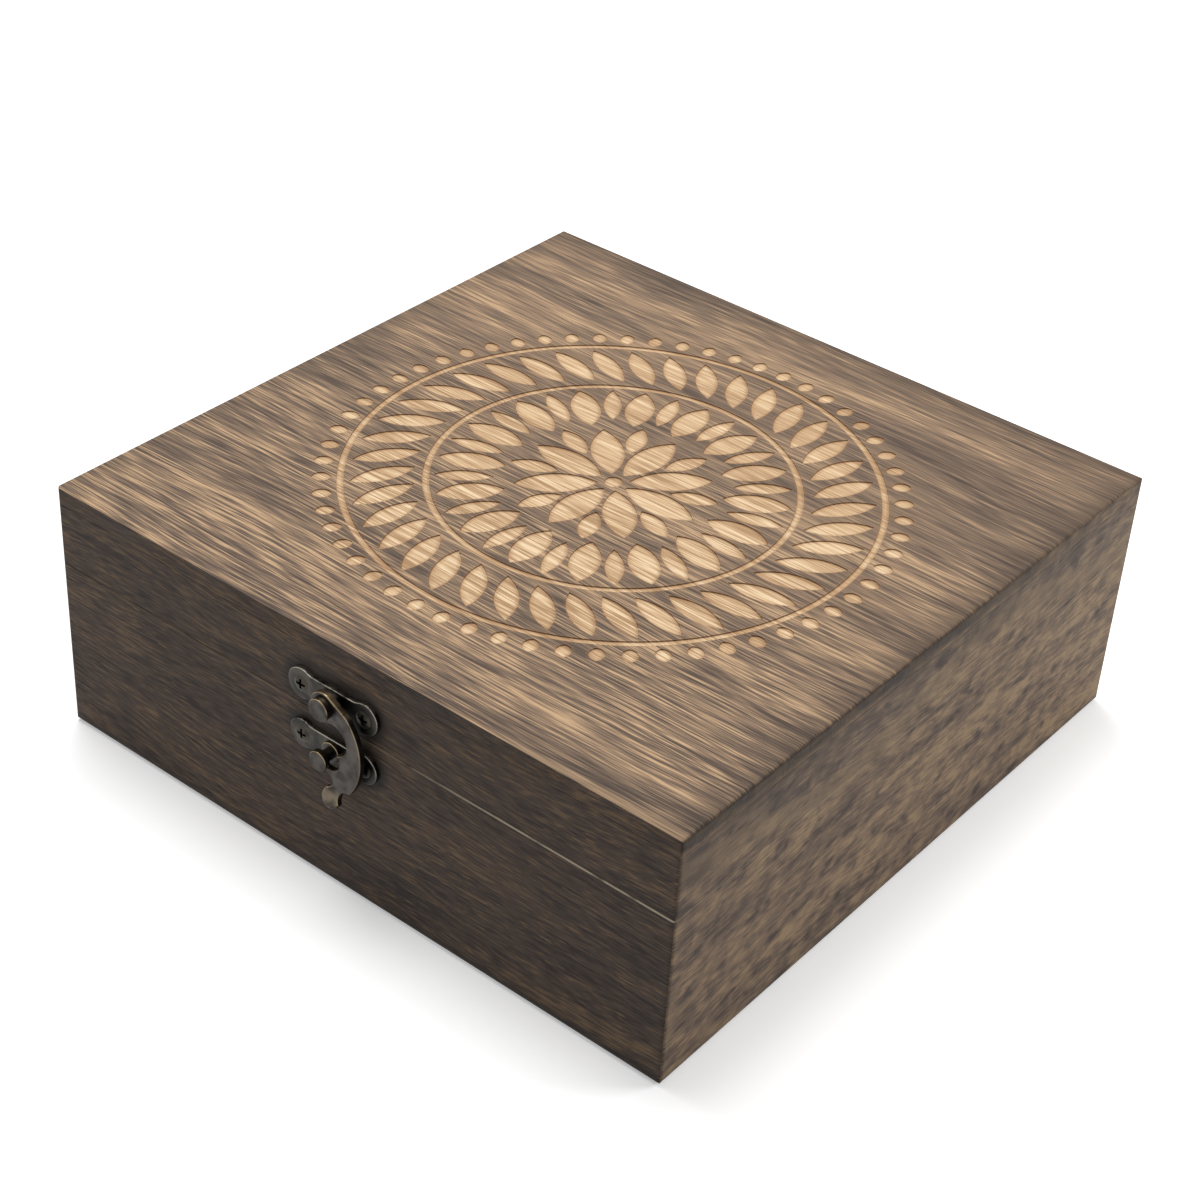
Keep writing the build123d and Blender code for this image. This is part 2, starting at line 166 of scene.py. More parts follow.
class Shader:
    """The nodes of one material or world: it makes them, links them and closes a surface."""

    def __init__(self, owner: bpy.types.Material | bpy.types.World) -> None:
        """Starts without any nodes.

        Args:
            owner: The material or world that the nodes belong to.
        """
        owner.use_nodes = True
        self.owner = owner
        self.tree = owner.node_tree
        self.tree.nodes.clear()

    def node(self, kind: str, settings: dict[str, object] | None = None,
             inputs: dict[int | str, object] | None = None) -> bpy.types.Node:
        """Makes a node, sets it up and feeds its sockets.

        Args:
            kind: The node's type.
            settings: Its properties, set first; "stops" are a ramp's positions and colours.
            inputs: Its sockets' values or links, by name or place.

        Returns:
            The node.
        """
        made = self.tree.nodes.new(kind)
        for name, value in (settings or {}).items():
            if name == "stops":
                self._set_stops(made.color_ramp, value)
            else:
                setattr(made, name, value)
        for place, value in (inputs or {}).items():
            if isinstance(value, Value):
                value = value.socket
            if isinstance(value, bpy.types.NodeSocket):
                self.tree.links.new(value, made.inputs[place])
            else:
                made.inputs[place].default_value = value
        return made

    @staticmethod
    def _set_stops(ramp: bpy.types.ColorRamp, stops: list[tuple[float, Colour]]) -> None:
        """Gives a ramp its stops.

        Args:
            ramp: The ramp.
            stops: Each stop's position and colour, in order.
        """
        while len(ramp.elements) > 1:
            ramp.elements.remove(ramp.elements[-1])
        ramp.elements[0].position, ramp.elements[0].color = stops[0]
        for position, colour in stops[1:]:
            ramp.elements.new(position).color = colour

    def place(self) -> tuple[Value, Value, Value]:
        """Gives the point's X, Y and Z in millimetres in the piece's own frame."""
        return self._parts("Object", MILLIMETRES)

    def facing(self) -> tuple[Value, Value, Value]:
        """Gives the X, Y and Z of the surface's normal in the piece's own frame."""
        return self._parts("Normal", 1.0)

    def _parts(self, output: str, factor: float) -> tuple[Value, Value, Value]:
        """Splits an output of the coordinates into three numbers.

        Args:
            output: The output's name.
            factor: What each number is multiplied by.

        Returns:
            The three numbers.
        """
        coordinates = self.node("ShaderNodeTexCoord")
        settings = {"operation": "SCALE"}
        scaled = self.node("ShaderNodeVectorMath", settings,
                           {0: coordinates.outputs[output], "Scale": factor})
        parts = self.node("ShaderNodeSeparateXYZ", None, {0: scaled.outputs[0]})
        return tuple(Value(self, socket) for socket in parts.outputs)

    def ramp(self, factor: Value, stops: list[tuple[float, Colour]]) -> bpy.types.NodeSocket:
        """Colours a value of 0 to 1 by a ramp's positions and colours."""
        return self.node("ShaderNodeValToRGB", {"stops": stops}, {0: factor}).outputs[0]

    def mix(self, factor: Operand, first: Colour | bpy.types.NodeSocket,
            second: Colour | bpy.types.NodeSocket) -> bpy.types.NodeSocket:
        """Mixes two colours, the factor being the second one's share."""
        inputs = {0: factor, 6: first, 7: second}
        return self.node("ShaderNodeMix", {"data_type": "RGBA"}, inputs).outputs[2]

    def bump(self, height: Value, depth: float) -> bpy.types.NodeSocket:
        """Turns a height into a normal; a height of 1 is as many millimetres as the depth says."""
        inputs = {"Height": height, "Distance": depth / MILLIMETRES, "Strength": 1.0}
        return self.node("ShaderNodeBump", None, inputs).outputs[0]

    def close(self, inputs: dict[str, object]) -> bpy.types.Material:
        """Ends the nodes in a surface.

        Args:
            inputs: The values and links of the surface's sockets.

        Returns:
            The finished material.
        """
        surface = self.node("ShaderNodeBsdfPrincipled", None, inputs)
        self.node("ShaderNodeOutputMaterial", None, {0: surface.outputs[0]})
        return self.owner


# --- finishes ----------------------------------------------------------------------------
HALF_BOX = 100.0
MIDDLE = 0.5
STREAK_SOFTNESS = 0.14


class Grain(Enum):
    """Which way a board's grain runs, and which way lies across it on its broad face."""

    FRONT = (0, 2, 1)
    SIDE = (1, 2, 0)
    FLAT = (0, 1, 2)


def spaced(tones: tuple[Colour, ...], low: float, high: float) -> list[tuple[float, Colour]]:
    """Spreads tones evenly over a part of a ramp."""
    step = (high - low) / (len(tones) - 1)
    return [(low + step * index, tone) for index, tone in enumerate(tones)]


@dataclass(frozen=True)
class Cloud:
    """A cloudy pattern, which may be stretched along a board.

    Attributes:
        length: How long its grains are, in millimetres.
        width: How wide they are.
        depth: How deep they are, or 0 if they go right through.
        shift: What tells it from another pattern of its size.
        detail: How many finer octaves it has.
    """

    length: float
    width: float
    depth: float = 0.0
    shift: float = 0.0
    detail: float = 0.0

    def over(self, shader: Shader, along: Operand, across: Operand, deep: Operand = 0.0,
             seed: float = 0.0) -> Value:
        """Lays the pattern over a surface.

        Args:
            shader: The shader.
            along: The distance along the board, in millimetres.
            across: The distance across it.
            deep: The distance into it.
            seed: What tells one board from another.

        Returns:
            A number about 0.5.
        """
        shift = self.shift + seed
        layer = deep / self.depth + shift if self.depth else shift
        point = shader.node("ShaderNodeCombineXYZ", None,
                            {0: along / self.length, 1: across / self.width, 2: layer})
        cloud = shader.node("ShaderNodeTexNoise", {"noise_dimensions": "3D"},
                            {"Vector": point.outputs[0], "Scale": 1.0, "Detail": self.detail})
        return Value(shader, cloud.outputs[0])


@dataclass(frozen=True)
class Streaks:
    """One size of streak in a board's figure.

    Attributes:
        length: How long a streak is, in millimetres.
        width: How wide it is, in millimetres.
        strength: How much lighter it is, 1 being the whole range of tones, or darker if below 0.
        apart: The level above which a streak stands by itself, or 0 where streaks run together.
    """

    length: float
    width: float
    strength: float
    apart: float = 0.0

    def spread(self, shader: Shader, along: Value, across: Value, deep: Value) -> Value:
        """Works out how far the streaks lighten the wood.

        Args:
            shader: The shader.
            along: The distance along the grain, in millimetres.
            across: The distance across it.
            deep: The distance into the board.

        Returns:
            What they add to the tone.
        """
        shift = 10 * self.width + self.length
        pattern = Cloud(self.length, self.width, 4 * self.width, shift, detail=2.0)
        cloud = pattern.over(shader, along, across, deep)
        if self.apart:
            return cloud.rise(self.apart, self.apart + STREAK_SOFTNESS) * self.strength
        return (cloud - MIDDLE) * self.strength


# The grain's bends, quiet patches and golden flecks.
SWING = Cloud(95, 34, 34)
RIPPLE = Cloud(24, 8, 8)
RIPPLE_SHARE = 0.1
PATCHES = Cloud(26, 10, 10, shift=7.0, detail=1.0)
QUIET, LIVELY = 0.55, 1.45
TONE_SPAN = (0.2, 0.8)
FLECKS = Streaks(6.0, 0.5, 1.0, apart=0.59)
CLUSTERS = Cloud(20, 7, 7, shift=3.0, detail=1.0)
CLUSTER_SPAN = (0.36, 0.62)
ROUGHNESS_SPAN = 0.12
WOOD_GLOSS = 0.22
# Where the painted shade round a fitting begins to thin out, in millimetres.
FITTING_SHADE_START = 0.4


@dataclass(frozen=True)
class ScorchedWood:
    """Open-grained wood, stained and scorched, with dark and light streaks.

    Attributes:
        name: The material's name.
        grain: Which way the grain runs.
        seed: What tells one board's figure from another's.
        tones: The colours from the darkest streak to the lightest.
        coarse: The sizes of streak that show alike all over the board.
        fine: The sizes of streak that fade in its quiet patches.
        wander: How far the grain swings to and fro, in millimetres.
        gold: The colour of short flecks where the stain is thin.
        gilding: How strongly those flecks show.
        roughness: The roughness of a middle tone.
        relief: How far the grain stands out, in millimetres.
    """

    name: str
    grain: Grain
    seed: float
    tones: tuple[Colour, ...]
    coarse: tuple[Streaks, ...]
    fine: tuple[Streaks, ...]
    wander: float = 6.0
    gold: Colour = field(default_factory=lambda: paint(160, 130, 92))
    gilding: float = 0.0
    roughness: float = 0.62
    relief: float = 0.1

    def course(self, shader: Shader) -> tuple[Value, Value, Value]:
        """Gives the distance along the grain, across it and into the board, bent with the grain.

        Args:
            shader: The shader.

        Returns:
            The three distances in millimetres.
        """
        point = shader.place()
        along, across, deep = (point[axis] for axis in self.grain.value)
        along = along + self.seed
        swing = SWING.over(shader, along, across, deep, self.seed) - MIDDLE
        ripple = RIPPLE.over(shader, along, across, deep, self.seed) - MIDDLE
        bend = (swing + ripple * RIPPLE_SHARE) * (2 * self.wander)
        return along, across + bend, deep

    def boldness(self, shader: Shader) -> Operand:
        """Says how far the fine streaks differ here; all over a plain board it is the same."""
        return 1.0

    def figure(self, shader: Shader) -> Value:
        """Works out the streaks.

        Args:
            shader: The shader.

        Returns:
            The tone, 0 dark to 1 light.
        """
        path = self.course(shader)
        patch = QUIET + (LIVELY - QUIET) * PATCHES.over(shader, *path)
        tone = sum((streaks.spread(shader, *path) for streaks in self.coarse), MIDDLE)
        thread = sum((streaks.spread(shader, *path) for streaks in self.fine), 0.0)
        return (tone + thread * patch * self.boldness(shader)).held()

    def colour(self, shader: Shader, tone: Value) -> bpy.types.NodeSocket:
        """Colours the streaks and gilds some of them.

        Args:
            shader: The shader.
            tone: The streaks' tone.

        Returns:
            Their colour.
        """
        plain = shader.ramp(tone, spaced(self.tones, *TONE_SPAN))
        if not self.gilding:
            return plain
        path = self.course(shader)
        cluster = CLUSTERS.over(shader, *path).rise(*CLUSTER_SPAN)
        return shader.mix(FLECKS.spread(shader, *path) * cluster * self.gilding, plain, self.gold)

    def shades(self, shader: Shader, colour: bpy.types.NodeSocket) -> bpy.types.NodeSocket:
        """Adds what the tools and the fire left on this board; a plain board has nothing."""
        return colour

    def material(self) -> bpy.types.Material:
        """Builds the material."""
        shader = Shader(bpy.data.materials.new(self.name))
        tone = self.figure(shader)
        return shader.close({
            "Base Color": self.shades(shader, self.colour(shader, tone)),
            "Roughness": self.roughness + ROUGHNESS_SPAN * (MIDDLE - tone),
            "Normal": shader.bump(tone, self.relief),
            "Specular IOR Level": WOOD_GLOSS,
        })


@dataclass(frozen=True)
class FittingShade:
    """Painted shade in the wood round a fitting, where its shadow falls.

    Attributes:
        along: The fitting's middle along the board, in millimetres.
        height: Its middle's height.
        half_length: Half the distance between its two ears.
        radius: The ears' radius.
        spread: How far the painted shade reaches.
    """

    along: float
    height: float
    half_length: float
    radius: float
    spread: float = 4.2

    def mask(self, along: Value, height: Value) -> Value:
        """Gives 1 beside the fitting and 0 away from it.

        Args:
            along: The distance along the board, in millimetres.
            height: The height, in millimetres.

        Returns:
            The mask.
        """
        aside = (abs(along - self.along) - self.half_length).most(0.0)
        rise = height - self.height
        distance = (aside * aside + rise * rise).root() - self.radius
        return distance.rise(self.spread, FITTING_SHADE_START)


# The crest's patterns, shares and heights over its lower edge, in millimetres.
CREST_FRAYED = Cloud(16, 6, detail=2.0)
CREST_FRAYING = 3.0
CREST_PATCHES = Cloud(20, 5, shift=4.0)
CREST_THREADS = Cloud(14, 0.5, detail=1.0)
CREST_THREAD_SPAN = (0.32, 0.68)
CREST_SPAN = (-0.4, 0.9)
BAND_START = (0.4, -1.0)
BAND_END = (-10.0, -4.0)
BAND_SHARE = 0.5
CREST_SHARE = 0.6
PLAIN_SHARE, THREAD_SHARE = 0.14, 0.44


@dataclass(frozen=True)
class Crest:
    """A dark crest in a board's figure, with a pale band under its wavy lower edge.

    Attributes:
        dark: The crest's colour.
        pale: The band's colour.
        level: The mean height of the crest's lower edge, in millimetres.
        swing: How far that edge swings up and down, in millimetres.
        length: The distance from one hollow of the edge to the next, in millimetres.
        dip: Where along the board the edge is lowest, in millimetres.
    """

    dark: Colour = field(default_factory=lambda: paint(86, 77, 72))
    pale: Colour = field(default_factory=lambda: paint(134, 116, 94))
    level: float = 62.2
    swing: float = 5.3
    length: float = 130.0
    dip: float = -35.0

    def tint(self, shader: Shader, colour: bpy.types.NodeSocket, along: Value, height: Value,
             seed: float) -> bpy.types.NodeSocket:
        """Lays the crest and the band over a board's figure.

        Args:
            shader: The shader.
            colour: The figure's colour.
            along: The distance along the board, in millimetres.
            height: The height, in millimetres.
            seed: What tells one board from another.

        Returns:
            The colour with the crest in it.
        """
        wave = ((along - self.dip) * (math.tau / self.length)).cosine()
        fray = (CREST_FRAYED.over(shader, along, height, seed=seed) - MIDDLE) * CREST_FRAYING
        above = height + self.swing * wave + fray - self.level
        patchy = CREST_SHARE * (1 + CREST_PATCHES.over(shader, along, height, seed=seed))
        thread = CREST_THREADS.over(shader, along, height, seed=seed).rise(*CREST_THREAD_SPAN)
        dark = above.rise(*CREST_SPAN) * patchy * (PLAIN_SHARE + THREAD_SHARE * thread)
        band = above.rise(*BAND_START) * above.rise(*BAND_END) * patchy * BAND_SHARE
        return shader.mix(band, shader.mix(dark, colour, self.dark), self.pale)


# How a board is scorched and darkened, with painted shade at its foot and round its fittings and a
# painted highlight on its rim; lengths in millimetres.
BOARD_FRAYED = Cloud(7, 2, detail=1.0)
BOARD_FRAYING = 3.0
END_SPAN = (-1.0, 2.5)
END_SHARE = 0.3
FOOT_SHADE_SPAN = (3.6, -0.6)
FADED_SPAN = (-20.0, 80.0)
PALED_SPAN = (48.0, 22.0)
FITTING_SHADE_DEPTH = (1.5, 1.0)
FITTING_SHADE_SHARE = 0.88
RIM_SPAN = (0.26, 0.1)
RIM_PATCHES = Cloud(9, 1, detail=2.0)
RIM_PATCH_SPAN = (0.28, 0.5)
RIM_LEAST, RIM_ROW, RIM_END = 0.14, 3.0, 62.0


@dataclass(frozen=True)
class BoardWood(ScorchedWood):
    """Wood of an upright board, darker at its ends and its head, with painted shade at its foot and
    a painted highlight on its rim.

    Attributes:
        char: The colour of the scorched edges, also used for the painted shade at the foot.
        fitting_shade_colour: The colour round the fittings.
        seam_highlight: The colour of the painted highlight on the base's rim at the seam.
        rim_level: The base's height, in millimetres.
        rim_depth: How far below that its worn corner lies, in millimetres.
        rim_highlight_share: How strong the painted highlight on the rim is.
        rim_start: How far along the board the rim's painted highlight grows stronger, in
            millimetres.
        head_level: The height of the lid frame's upper edge, in millimetres.
        head_reach: How far down from it the wood is darker, in millimetres.
        head_share: How dark it is there.
        clear_start: How far along the board the head starts to clear, in millimetres.
        clear_end: How far along the board the head is as light as the rest.
        foot_shade_share: How dark the painted shade at the foot is.
        faded: How much lighter the figure is at the board's far end.
        paled: How much lighter the figure is at the base's foot.
        crest: The dark crest in its figure, if it has one.
        fitting_shades: The painted shade round its fittings.
    """

    char: Colour = field(default_factory=lambda: paint(40, 34, 31))
    fitting_shade_colour: Colour = field(default_factory=lambda: paint(24, 21, 19))
    seam_highlight: Colour = field(default_factory=lambda: paint(240, 222, 196))
    rim_level: float = 51.5
    rim_depth: float = 0.36
    rim_highlight_share: float = 1.0
    rim_start: float = 0.0
    head_level: float = 69.5
    head_reach: float = 10.0
    head_share: float = 0.2
    clear_start: float = 30.0
    clear_end: float = 100.0
    foot_shade_share: float = 0.9
    faded: float = 0.0
    paled: float = 0.0
    crest: Crest | None = None
    fitting_shades: tuple[FittingShade, ...] = ()

    def figure(self, shader: Shader) -> Value:
        """Works out the streaks, lighter towards the board's far end and the foot.

        Args:
            shader: The shader.

        Returns:
            The tone, 0 dark to 1 light.
        """
        tone = super().figure(shader)
        if not self.faded:
            return tone
        point = shader.place()
        along, height = point[self.grain.value[0]], point[2]
        lighter = self.faded * along.rise(*FADED_SPAN) + self.paled * height.rise(*PALED_SPAN)
        return tone + lighter

    def shades(self, shader: Shader, colour: bpy.types.NodeSocket) -> bpy.types.NodeSocket:
        """Darkens the board's ends and head, paints shade at its foot and round its fittings, and
        paints a highlight on the rim at the seam.

        Args:
            shader: The shader.
            colour: The streaks' colour.

        Returns:
            The board's colour.
        """
        point = shader.place()
        along, _, deep = (point[axis] for axis in self.grain.value)
        height = point[2]
        fray = BOARD_FRAYED.over(shader, along, height) * BOARD_FRAYING
        end = (abs(along) + fray - HALF_BOX).rise(*END_SPAN)
        # Painted shade along the foot, where the box meets the floor.
        foot = (height - fray).rise(*FOOT_SHADE_SPAN)
        head = height.rise(self.head_level - self.head_reach, self.head_level)
        head = head * along.rise(self.clear_end, self.clear_start) * self.head_share
        dark = (end * END_SHARE).most(foot * self.foot_shade_share).most(head)
        if self.crest:
            colour = self.crest.tint(shader, colour, along, height, self.seed)
        charred = shader.mix(dark, colour, self.char)
        # Painted shade round the fittings, on the board's outer face only.
        outer = (HALF_BOX - abs(deep)).rise(*FITTING_SHADE_DEPTH)
        for shade_ring in self.fitting_shades:
            shaded = shade_ring.mask(along, height) * outer * FITTING_SHADE_SHARE
            charred = shader.mix(shaded, charred, self.fitting_shade_colour)
        # A painted highlight along the base's rim at the seam, in patches.
        rim = abs(height - (self.rim_level - self.rim_depth)).rise(*RIM_SPAN)
        pale_patches = RIM_PATCHES.over(shader, along, RIM_ROW, seed=self.seed).rise(*RIM_PATCH_SPAN)
        pale_patches = pale_patches * (RIM_LEAST + (1 - RIM_LEAST) * along.rise(self.rim_start, RIM_END))
        return shader.mix(rim * pale_patches * self.rim_highlight_share, charred, self.seam_highlight)


@dataclass(frozen=True)
class PetalRing:
    """A ring of pointed petals in the rosette, in millimetres and degrees.

    Attributes:
        count: How many petals it has.
        start: How far from the middle they begin.
        length: Their length.
        width: Their width.
        tilt: Their lean from straight out.
        phase: Their turn, as a share of the angle between two.
    """

    count: int
    start: float
    length: float
    width: float
    tilt: float = 0.0
    phase: float = 0.0

    def distance(self, radius: Value, turn: Value) -> Value:
        """Gives the distance to the nearest petal's edge, below 0 inside it.

        Args:
            radius: The distance from the rosette's middle.
            turn: The angle round it, in radians.

        Returns:
            The distance in millimetres.
        """
        half, swell = self.length / 2, self.width / 2
        arc = (half * half + swell * swell) / (2 * swell)
        step = math.tau / self.count
        lean = math.radians(self.tilt)
        turn = turn - self.phase * step
        if not self.tilt:
            turn = turn.folded(step)
            along, aside = radius * turn.cosine() - self.start, radius * turn.sine()
        else:
            drift = self.start * math.sin(lean)
            reach = (radius * radius - drift * drift).most(0.0).root() - self.start * math.cos(lean)
            axis = (reach * math.sin(lean)).bearing(reach * math.cos(lean) + self.start)
            gap = (turn - axis).folded(step)
            slant = lean - axis
            along = reach + radius * gap.sine() * slant.sine()
            aside = radius * gap.sine() * slant.cosine()
        over = abs(aside) + (arc - swell)
        along = along - half
        return (along * along + over * over).root() - arc


# Heights in the pockets, in millimetres.
POCKET_BRINK = 0.08
POCKET_FLOOR = 0.05
POCKET_UNDER = (-1.0, -0.5)


@dataclass(frozen=True)
class Rosette:
    """The carving in the lid panel: petals in rings, two round borders and a dot.

    Attributes:
        rings: The rings of petals.
        borders: The radii of the round borders, in millimetres.
        border_width: The borders' width, in millimetres.
        dot: The radius of the dot in the middle, in millimetres.
        depth: How deep the pockets are, in millimetres.
        reach: The radius outside which nothing is carved, in millimetres.
    """

    rings: tuple[PetalRing, ...] = (
        PetalRing(8, 4.0, 22.0, 9.0),
        PetalRing(8, 15.0, 13.0, 5.5, phase=0.5),
        PetalRing(16, 28.5, 18.0, 8.0, phase=0.25),
        PetalRing(16, 31.0, 15.5, 5.0, phase=0.75),
        PetalRing(40, 51.5, 18.5, 6.2, tilt=30.0),
        PetalRing(60, 72.6, 5.2, 4.0),
    )
    borders: tuple[float, ...] = (48.5, 70.4)
    border_width: float = 1.8
    dot: float = 2.4
    depth: float = 0.35
    reach: float = 82.0

    def edge(self, shader: Shader) -> Value:
        """Gives the distance to the nearest edge of the carving, below 0 inside it.

        Args:
            shader: The shader.

        Returns:
            The distance in millimetres.
        """
        x, y, _ = shader.place()
        radius = (x * x + y * y).root()
        turn = y.bearing(x)
        edge = radius - self.dot
        for border in self.borders:
            edge = edge.least(abs(radius - border) - self.border_width / 2)
        for ring in self.rings:
            edge = edge.least(ring.distance(radius, turn))
        return edge

    def pocket(self, shader: Shader, top: float) -> Value:
        """Gives 1 on the floor and walls of the pockets.

        Args:
            shader: The shader.
            top: The height of the panel's upper face, in millimetres.

        Returns:
            The mask.
        """
        x, y, z = shader.place()
        floor = top - self.depth
        inside = (x * x + y * y).root().rise(self.reach, self.reach - 1)
        cut = z.rise(top - POCKET_BRINK, floor + POCKET_FLOOR)
        return cut * (z - floor).rise(*POCKET_UNDER) * inside


# How the panel is toasted, charred, burnt and sanded; lengths in millimetres.
BOLD_SPAN = (60.0, -60.0)
BOLD_FAR, BOLD_MORE = 0.6, 0.42
PALE_SPAN = (0.25, 0.75)
SPECKLE = Cloud(2.4, 1.2, shift=9.0, detail=2.0)
SPECKLING = 1.2
TOAST_SPAN = (-0.9, 0.9)
TOAST_SHARE = 0.55
HALO_SPAN = (0.9, 0.1)
HALO_SHARE = 0.12
PANEL_FRAYED = Cloud(14, 0.8, shift=4.0, detail=1.0)
PANEL_FRAYING = 2.4
PANEL_UNEVEN = Cloud(1, 9, shift=2.0)
PANEL_UNEVENNESS = 2.0
SIDE_SPAN, SIDE_SHARE = (-9.0, 5.0), 0.6
LEFT_SHARE = 0.4
BACK_SPAN, BACK_SHARE = (-14.0, 4.0), 0.4
EDGE_CHAR, FLANK_CHAR = 0.1, 0.15
FLANK_SPAN, ROUNDING_SPAN = (0.5, 0.6), (0.45, 1.0)
UPRIGHT_SPAN, LEVEL_SPAN = (0.7, 0.3), (0.7, 0.9)
BURN_FRAYED = Cloud(9, 3, shift=6.0, detail=1.0)
BURN_FRAYING = 1.6
BURN_FAR, BURN_MORE = 0.12, 0.58
ROUNDING_FAR, ROUNDING_MORE = 0.15, 0.5
STRIP_WIDER, STRIP_WIDER_SPAN = 4.4, (-40.0, 90.0)
STRIP_SPAN = (1.0, -0.4)
STRIP_WORN, STRIP_WORN_SPAN = Cloud(26, 1.1, shift=5.0, detail=1.0), (0.3, 0.55)
STRIP_THREADS, STRIP_THREAD_SPAN = Cloud(11, 0.4, shift=8.0, detail=1.0), (0.3, 0.7)
STRIP_LEAST, STRIP_MORE, STRIP_SHARE = 0.2, 0.4, 0.46
LINE_START, LINE_END, LINE_ALONG = (5.0, 5.8), (9.0, 7.8), (0.0, 70.0)
LINE_SHARE = 0.3


@dataclass(frozen=True)
class CarvedWood(ScorchedWood):
    """Wood of the lid panel: scorched side edges, and a rosette cut pale into its upper face.

    Attributes:
        flank: The wood of its left and right edges.
        front: The wood of its front and back edges.
        pale_tones: The tones of the carved pockets.
        char: The colour of the scorched edges.
        burnt: The colour of the line burnt along the top of the sides.
        scorch: The colour that the carving's heat left.
        sanded: The colour of the strip along the front edge that was sanded lighter.
        carving: The rosette.
        top_level: The height of its upper face, in millimetres.
        burn: How far down its sides the burnt line reaches, in millimetres.
    """

    flank: ScorchedWood | None = None
    front: ScorchedWood | None = None
    pale_tones: tuple[Colour, ...] = ()
    char: Colour = field(default_factory=lambda: paint(52, 44, 39))
    burnt: Colour = field(default_factory=lambda: paint(14, 9, 6))
    scorch: Colour = field(default_factory=lambda: paint(170, 128, 88))
    sanded: Colour = field(default_factory=lambda: paint(206, 172, 134))
    carving: Rosette = Rosette()
    top_level: float = 74.5
    burn: float = 5.2

    def boldness(self, shader: Shader) -> Operand:
        """Makes the fine streaks bolder towards the front edge."""
        _, y, _ = shader.place()
        return BOLD_FAR + BOLD_MORE * y.rise(*BOLD_SPAN)

    def _carved(self, shader: Shader) -> bpy.types.NodeSocket:
        """Colours the pockets: pale wood with faint grain, toasted at the edges.

        Args:
            shader: The shader.

        Returns:
            Their colour.
        """
        x, y, _ = shader.place()
        pale = shader.ramp(self.figure(shader), spaced(self.pale_tones, *PALE_SPAN))
        speckle = SPECKLE.over(shader, x, y) * SPECKLING
        toasted = (self.carving.edge(shader) + speckle).rise(*TOAST_SPAN)
        return shader.mix(toasted * TOAST_SHARE, pale, self.scorch)

    def _edges(self, shader: Shader) -> bpy.types.NodeSocket:
        """Colours the panel's four upright edges, with a burnt line along the top of its sides.

        Args:
            shader: The shader.

        Returns:
            Their colour.
        """
        _, y, z = shader.place()
        sideways = abs(shader.facing()[0]).rise(*FLANK_SPAN)
        flank = self.flank.colour(shader, self.flank.figure(shader))
        front = self.front.colour(shader, self.front.figure(shader))
        edges = shader.mix(sideways, front, flank)
        scorched = shader.mix(sideways * FLANK_CHAR + EDGE_CHAR, edges, self.char)
        fray = (BURN_FRAYED.over(shader, y, z) - MIDDLE) * BURN_FRAYING
        line = (z + fray).rise(self.top_level - self.burn, self.top_level - self.burn / 2)
        line = line * (BURN_FAR + BURN_MORE * y.rise(HALF_BOX, 0.0))
        return shader.mix(sideways * line, scorched, self.burnt)

    def _front_strip(self, shader: Shader, colour: bpy.types.NodeSocket,
                     near: Value) -> bpy.types.NodeSocket:
        """Lays the sanded strip along the front edge, and the dark line behind it.

        Args:
            shader: The shader.
            colour: The upper face's colour.
            near: The distance from the front edge, in millimetres.

        Returns:
            The colour with both in it.
        """
        x, y, _ = shader.place()
        pale_patches = STRIP_WORN.over(shader, x, y).rise(*STRIP_WORN_SPAN)
        thread = STRIP_THREADS.over(shader, x, y).rise(*STRIP_THREAD_SPAN)
        strip = (near - STRIP_WIDER * x.rise(*STRIP_WIDER_SPAN)).rise(*STRIP_SPAN)
        strip = strip * (STRIP_LEAST + STRIP_MORE * (pale_patches + thread)) * STRIP_SHARE
        line = near.rise(*LINE_START) * near.rise(*LINE_END) * x.rise(*LINE_ALONG) * LINE_SHARE
        return shader.mix(line, shader.mix(strip, colour, self.sanded), self.char)

    def shades(self, shader: Shader, colour: bpy.types.NodeSocket) -> bpy.types.NodeSocket:
        """Chars the panel's edges and pales its pockets.

        Args:
            shader: The shader.
            colour: The upper face's colour.

        Returns:
            The panel's colour.
        """
        x, y, _ = shader.place()
        sideways, _, upward = shader.facing()
        fray = PANEL_FRAYED.over(shader, x, y) * PANEL_FRAYING
        fray = fray + PANEL_UNEVEN.over(shader, 0.0, y) * PANEL_UNEVENNESS
        right = x.rise(-HALF_BOX, HALF_BOX) * (1 - LEFT_SHARE) + LEFT_SHARE
        side = (abs(x) + fray - HALF_BOX).rise(*SIDE_SPAN) * SIDE_SHARE * right
        back = (y + fray - HALF_BOX).rise(*BACK_SPAN) * BACK_SHARE
        charred = shader.mix(side.most(back), colour, self.char)
        charred = self._front_strip(shader, charred, y + fray + HALF_BOX)
        rounding = ROUNDING_FAR + ROUNDING_MORE * y.rise(HALF_BOX, 0.0)
        rounding = abs(sideways).rise(*ROUNDING_SPAN) * rounding
        charred = shader.mix(rounding, charred, self.burnt)
        body = shader.mix(abs(upward).rise(*UPRIGHT_SPAN), charred, self._edges(shader))
        halo = self.carving.edge(shader).rise(*HALO_SPAN) * upward.rise(*LEVEL_SPAN)
        body = shader.mix(halo * HALO_SHARE, body, self.scorch)
        return shader.mix(self.carving.pocket(shader, self.top_level), body, self._carved(shader))


# The plating's patterns, and their levels at which a mark begins and is full.
PLATING = Cloud(3.2, 3.2, 3.2, detail=3.0)
GRIT = Cloud(0.35, 0.35, 0.35, detail=1.0)
BRIGHT_SPAN = (0.35, 0.68)
# Patches of the edges pale from rubbing and from painted highlight.
EDGE_PATCH_SPAN, EDGE_PATCH_GRIT = (0.35, 0.62), 0.2
